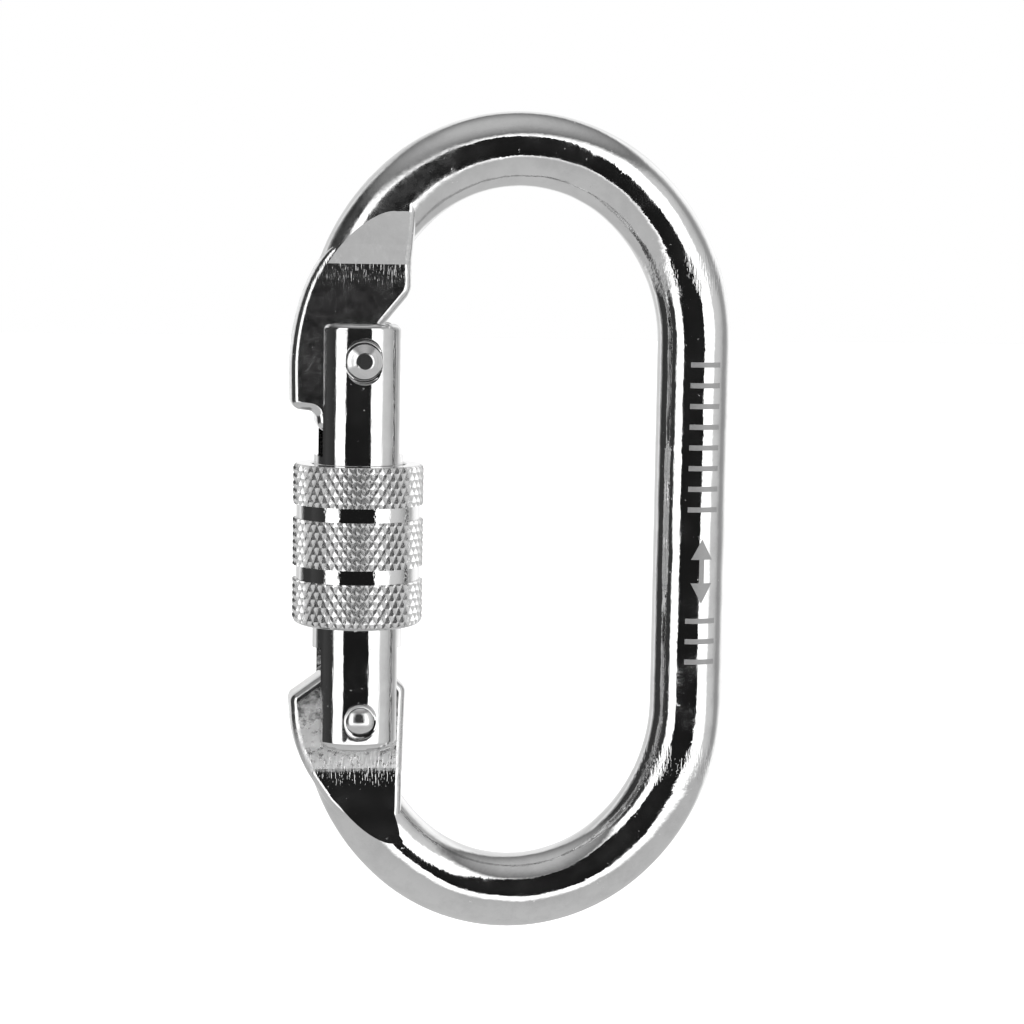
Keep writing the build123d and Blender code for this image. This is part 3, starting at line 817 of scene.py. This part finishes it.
class CARABINER_OT_sleeve(bpy.types.Operator):
    """Knurls the screw sleeve, then turns its grooves, ends and bore"""

    bl_idname = "carabiner.sleeve"
    bl_label = "Screw sleeve"

    def execute(self, context):
        sizes = context.scene.carabiner_sizes
        thing = as_object(self.knurled(sizes), "screw_sleeve")
        combine(thing, "INTERSECT", self.turned(sizes))
        finish_piece(thing, "sleeve", "sleeve_plating", knurled_plating(), "sleeve_shell", "sleeve_bush")
        return {"FINISHED"}

    def knurled(self, sizes):
        """A closed cylinder covered with diamonds, longer than the sleeve."""
        count, height, depth = sizes.knurl_count, sizes.knurl_height, sizes.knurl_depth
        valley_r = SLEEVE_R - depth
        step = 2 * math.pi / count
        low = SLEEVE_LOW.z - height
        rows = math.ceil((SLEEVE_HIGH.z + height - low) / height)
        bm = bmesh.new()
        for row in (0, 1):
            places = ((-0.5, 0), (0, -0.5), (0.5, 0), (0, 0.5))
            verts = []
            for u, v in places:
                turn = (u + row / 2) * step
                verts.append(bm.verts.new((
                    valley_r * math.cos(turn), valley_r * math.sin(turn), low + (v + row / 2) * height)))
            bm.faces.new(verts)
        bm.normal_update()
        bmesh.ops.inset_individual(bm, faces=bm.faces[:], thickness=0.38 * MM, depth=depth, use_even_offset=True)
        bmesh.ops.spin(
            bm, geom=bm.verts[:] + bm.edges[:] + bm.faces[:], cent=(0, 0, 0), axis=(0, 0, 1),
            angle=2 * math.pi, steps=count, use_duplicate=True, use_merge=False)
        ring = bm.verts[:] + bm.edges[:] + bm.faces[:]
        for row in range(1, rows):
            out = bmesh.ops.duplicate(bm, geom=ring)
            verts = [g for g in out["geom"] if isinstance(g, bmesh.types.BMVert)]
            bmesh.ops.translate(bm, verts=verts, vec=(0, 0, row * height))
        bmesh.ops.remove_doubles(bm, verts=bm.verts, dist=0.01 * MM)
        for z, way in ((SLEEVE_LOW.z - 0.2 * MM, -1), (SLEEVE_HIGH.z + 0.2 * MM, 1)):
            bmesh.ops.bisect_plane(
                bm, geom=bm.verts[:] + bm.edges[:] + bm.faces[:], plane_co=(0, 0, z),
                plane_no=(0, 0, way), clear_outer=True)
        bmesh.ops.holes_fill(bm, edges=[e for e in bm.edges if e.is_boundary], sides=0)
        bmesh.ops.recalc_face_normals(bm, faces=bm.faces)
        bmesh.ops.translate(bm, verts=bm.verts, vec=(GATE_X, 0, 0))
        return bm

    def turned(self, sizes):
        """What the lathe leaves of the sleeve: both ends, two grooves, bore and counterbore."""
        out = SLEEVE_R + 0.5 * MM
        low, high = SLEEVE_LOW.z, SLEEVE_HIGH.z
        floor_r = SLEEVE_R - sizes.groove_depth
        bore_r, wide_r, step_z = GATE_R + 0.09 * MM, 6.35 * MM, 3.7 * MM
        foot = 0.6 * MM
        chamfer, soft = 0.35 * MM, 1.2 * MM
        profile = [(bore_r, low + foot), (wide_r, low + foot), (wide_r, low)]
        profile += round_edge((SLEEVE_R - soft, low + soft), soft, -90, 0)
        profile.append((out, low + soft))
        for mid in (-6.32 * MM, 1.86 * MM):
            half = 0.95 * MM
            profile += [(out, mid - half), (floor_r, mid - half), (floor_r, mid + half), (out, mid + half)]
        spill = out - SLEEVE_R
        profile += [(out, high - chamfer - spill), (SLEEVE_R - chamfer, high), (wide_r + 0.2 * MM, high),
                    (wide_r, high - 0.2 * MM), (wide_r, step_z), (bore_r, step_z)]
        return lathe(profile, (GATE_X, 0, 0), (0, 0, 1), 128)


# ---------------------------------------------------------------- stage
def srgb(shade):
    """Light carried by a display shade of grey."""
    return ((shade + 0.055) / 1.055) ** 2.4 if shade > 0.04 else shade / 12.92


class CARABINER_OT_stage(bpy.types.Operator):
    """Sets up the pale floor, the surrounding studio and the camera"""

    bl_idname = "carabiner.stage"
    bl_label = "Studio and camera"

    def execute(self, context):
        context.scene.view_settings.view_transform = "Standard"
        self.floor()
        self.screen()
        self.surroundings()
        self.camera()
        return {"FINISHED"}

    def floor(self):
        """A plain pale floor under the carabiner."""
        studio = bpy.context.scene.carabiner_studio
        bm = bmesh.new()
        bmesh.ops.create_grid(bm, x_segments=1, y_segments=1, size=3.0)
        bmesh.ops.translate(bm, verts=bm.verts, vec=(0, 0, FRAME_LOW.z - studio.floor_gap))
        thing = as_object(bm, "floor")
        mat, tree, bsdf, place = shader("pale floor", (0.95, 0.95, 0.95), 0.0, 0.9)
        bsdf.inputs["Emission Color"].default_value = (1, 1, 1, 1)
        bsdf.inputs["Emission Strength"].default_value = 0.6
        tree.links.new(mixed_colour(tree, noise(tree, place, 6), (0.95, 0.95, 0.95), (0.92, 0.92, 0.92)),
                       bsdf.inputs["Base Color"])
        thing.data.materials.append(mat)
        thing.visible_glossy = False

    def screen(self):
        """A black screen behind the camera, seen only as a reflection."""
        studio = bpy.context.scene.carabiner_studio
        away, half_width = 443 * MM, 290 * MM
        low, high = -135 * MM, 400 * MM
        bm = bmesh.new()
        verts = [bm.verts.new(p) for p in (
            (-half_width, -away, low), (half_width, -away, low), (half_width, -away, high),
            (-half_width, -away, high))]
        bm.faces.new(verts)
        bmesh.ops.rotate(
            bm, verts=bm.verts, cent=(0, 0, 0), matrix=Matrix.Rotation(studio.camera_azimuth, 3, "Z"))
        thing = as_object(bm, "black_screen")
        mat, tree, bsdf, place = shader("black cloth", (0.002, 0.002, 0.002), 0.0, 1.0)
        bsdf.inputs["Specular IOR Level"].default_value = 0.0
        bsdf.inputs["Emission Color"].default_value = (1, 1, 1, 1)
        bsdf.inputs["Emission Strength"].default_value = 0.011
        tree.links.new(mixed_colour(tree, noise(tree, place, 40), (0.002, 0.002, 0.002), (0.004, 0.004, 0.004)),
                       bsdf.inputs["Base Color"])
        thing.data.materials.append(mat)
        for unseen in ("visible_camera", "visible_diffuse", "visible_shadow", "visible_transmission"):
            setattr(thing, unseen, False)

    def surroundings(self):
        """The studio as seen from the carabiner, by direction: pale floor and ceiling, two bright
        upright soft boxes, a black screen in front and a dark wall on the left."""
        world = bpy.data.worlds.new("studio")
        bpy.context.scene.world = world
        world.use_nodes = True
        tree = world.node_tree
        tree.nodes.clear()
        coords = tree.nodes.new("ShaderNodeTexCoord")
        apart = tree.nodes.new("ShaderNodeSeparateXYZ")
        tree.links.new(coords.outputs["Generated"], apart.inputs["Vector"])
        turn = added(tree, apart.outputs["X"], added(tree, apart.outputs["Y"], -1, "MULTIPLY"), "ARCTAN2")
        middle = math.degrees(bpy.context.scene.carabiner_studio.camera_azimuth)
        # Turn from the camera's direction, and the shade that a polished surface shows there.
        shades = [
            (-172, 0.86), (-160, 0.78), (-142, 0.74), (-131, 0.86), (-124, 0.55), (-117, 0.2), (-98, 0.2),
            (-88, 0.24), (-60, 0.17), (-57, 1.1), (0, 1.1), (62, 1.1), (67, 0.77), (82, 0.74), (92, 0.68), (102, 0.54), (114, 0.56),
            (122, 0.68), (132, 0.9), (148, 0.95), (165, 0.84),
        ]
        around = self.ramp(tree, ranged(tree, turn, -math.pi, math.pi, 0, 1),
                           [((t + middle) / 360 + 0.5, shade) for t, shade in shades])
        heights = [(-90, 0.70), (-28, 0.67), (-12, 0.66), (38, 0.40), (48, 0.44), (60, 0.56), (75, 0.66), (90, 0.68)]
        level = ranged(tree, apart.outputs["Z"], -1, 1, 0, 1)
        above = self.ramp(tree, level, [((math.sin(math.radians(t)) + 1) / 2, shade) for t, shade in heights])
        window = self.ramp(tree, level, [((math.sin(math.radians(t)) + 1) / 2, shade) for t, shade in (
            (-27, 0), (-21, 1), (38, 1), (47, 0))], plain=True)
        blend = tree.nodes.new("ShaderNodeMix")
        blend.data_type = "RGBA"
        tree.links.new(window, blend.inputs["Factor"])
        tree.links.new(above, blend.inputs["A"])
        tree.links.new(around, blend.inputs["B"])
        lit = tree.nodes.new("ShaderNodeBackground")
        tree.links.new(blend.outputs["Result"], lit.inputs["Color"])
        lit.inputs["Strength"].default_value = 1.0
        white = tree.nodes.new("ShaderNodeBackground")
        white.inputs["Color"].default_value = (1, 1, 1, 1)
        rays = tree.nodes.new("ShaderNodeLightPath")
        choose = tree.nodes.new("ShaderNodeMixShader")
        tree.links.new(rays.outputs["Is Camera Ray"], choose.inputs["Fac"])
        tree.links.new(lit.outputs[0], choose.inputs[1])
        tree.links.new(white.outputs[0], choose.inputs[2])
        out = tree.nodes.new("ShaderNodeOutputWorld")
        tree.links.new(choose.outputs[0], out.inputs["Surface"])

    def ramp(self, tree, value, stops, plain=False):
        """A grey ramp; its shades are what the plating shows, so they are lifted by its reflectance."""
        shine = bpy.context.scene.carabiner_finish.plating[0] * 0.93
        node = tree.nodes.new("ShaderNodeValToRGB")
        tree.links.new(value, node.inputs["Fac"])
        band = node.color_ramp
        for i, (place, shade) in enumerate(stops):
            stop = band.elements[i] if i < 2 else band.elements.new(place)
            stop.position = place
            light = shade if plain else srgb(shade) / shine
            stop.color = (light, light, light, 1)
        return node.outputs["Color"]

    def camera(self):
        """The camera, a long lens a little to the left of and above the carabiner."""
        studio = bpy.context.scene.carabiner_studio
        turn, tilt, roll = studio.camera_azimuth, studio.camera_elevation, studio.camera_roll
        target = Vector((0.258, 0, 1.632)) * MM
        back = Vector((math.sin(turn) * math.cos(tilt), -math.cos(turn) * math.cos(tilt), math.sin(tilt)))
        right = (-back).cross(Vector((0, 0, 1))).normalized()
        up = right.cross(-back)
        side = right * math.cos(roll) + up * math.sin(roll)
        top = up * math.cos(roll) - right * math.sin(roll)
        data = bpy.data.cameras.new("camera")
        data.lens = studio.lens
        data.sensor_width = 36
        data.clip_start = 0.01
        thing = bpy.data.objects.new("camera", data)
        where = Matrix((side, top, back)).transposed().to_4x4()
        where.translation = target + back * studio.camera_distance
        thing.matrix_world = where
        bpy.context.scene.collection.objects.link(thing)
        bpy.context.scene.camera = thing


PIECES = (
    CARABINER_OT_frame,
    CARABINER_OT_marks,
    CARABINER_OT_gate,
    CARABINER_OT_pins,
    CARABINER_OT_plunger,
    CARABINER_OT_sleeve,
    CARABINER_OT_stage,
)


class CARABINER_PT_main(bpy.types.Panel):
    """Lists the carabiner's settings and the steps that build it"""

    bl_label = "Oval carabiner"
    bl_space_type = "VIEW_3D"
    bl_region_type = "UI"
    bl_category = "Carabiner"

    def draw(self, context):
        layout = self.layout
        for settings in (context.scene.carabiner_sizes, context.scene.carabiner_finish,
                         context.scene.carabiner_studio):
            column = layout.column()
            for name in settings.__annotations__:
                column.prop(settings, name)
        for piece in PIECES:
            layout.operator(piece.bl_idname)


CLASSES = (CarabinerSizes, CarabinerFinish, CarabinerStudio, *PIECES, CARABINER_PT_main)


def register():
    for cls in CLASSES:
        bpy.utils.register_class(cls)
    bpy.types.Scene.carabiner_sizes = PointerProperty(type=CarabinerSizes)
    bpy.types.Scene.carabiner_finish = PointerProperty(type=CarabinerFinish)
    bpy.types.Scene.carabiner_studio = PointerProperty(type=CarabinerStudio)


def unregister():
    del bpy.types.Scene.carabiner_studio
    del bpy.types.Scene.carabiner_finish
    del bpy.types.Scene.carabiner_sizes
    for cls in reversed(CLASSES):
        bpy.utils.unregister_class(cls)


def main():
    """Builds everything in order."""
    register()
    for piece in PIECES:
        group, name = piece.bl_idname.split(".")
        getattr(getattr(bpy.ops, group), name)()


if __name__ == "__main__":
    main()
